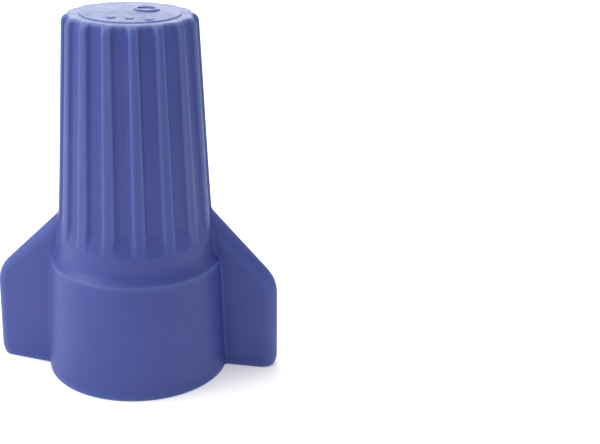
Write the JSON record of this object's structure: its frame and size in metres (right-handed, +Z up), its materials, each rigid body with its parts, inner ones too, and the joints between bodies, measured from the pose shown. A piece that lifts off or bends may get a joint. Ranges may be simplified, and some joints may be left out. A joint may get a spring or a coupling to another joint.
{
  "type": "twist-on wire connector",
  "caption": "Winged twist-on wire connector: a ribbed, tapered plastic shell with a wide skirt and finger wings, holding a conical square-wire spring that threads onto stripped wire ends.",
  "frame": {"origin": "centre of the mouth plane, on the connector's axis, where the skirt's rim and the wings' lower edges stand on a table", "axes": "+Z runs up the axis from the mouth to the closed end; the wings reach along +X and -X; +Y completes the right-handed frame"},
  "size_m": [0.0276, 0.0178, 0.0353],
  "materials": {
    "shell_plastic": "blue moulded polypropylene, fine satin texture, with soft highlights on the rounded edges",
    "spring_steel": "bright zinc-plated square spring wire"
  },
  "bodies": {
    "root": {"shell": "shell_plastic", "spring": "spring_steel"}
  },
  "joints": []
}
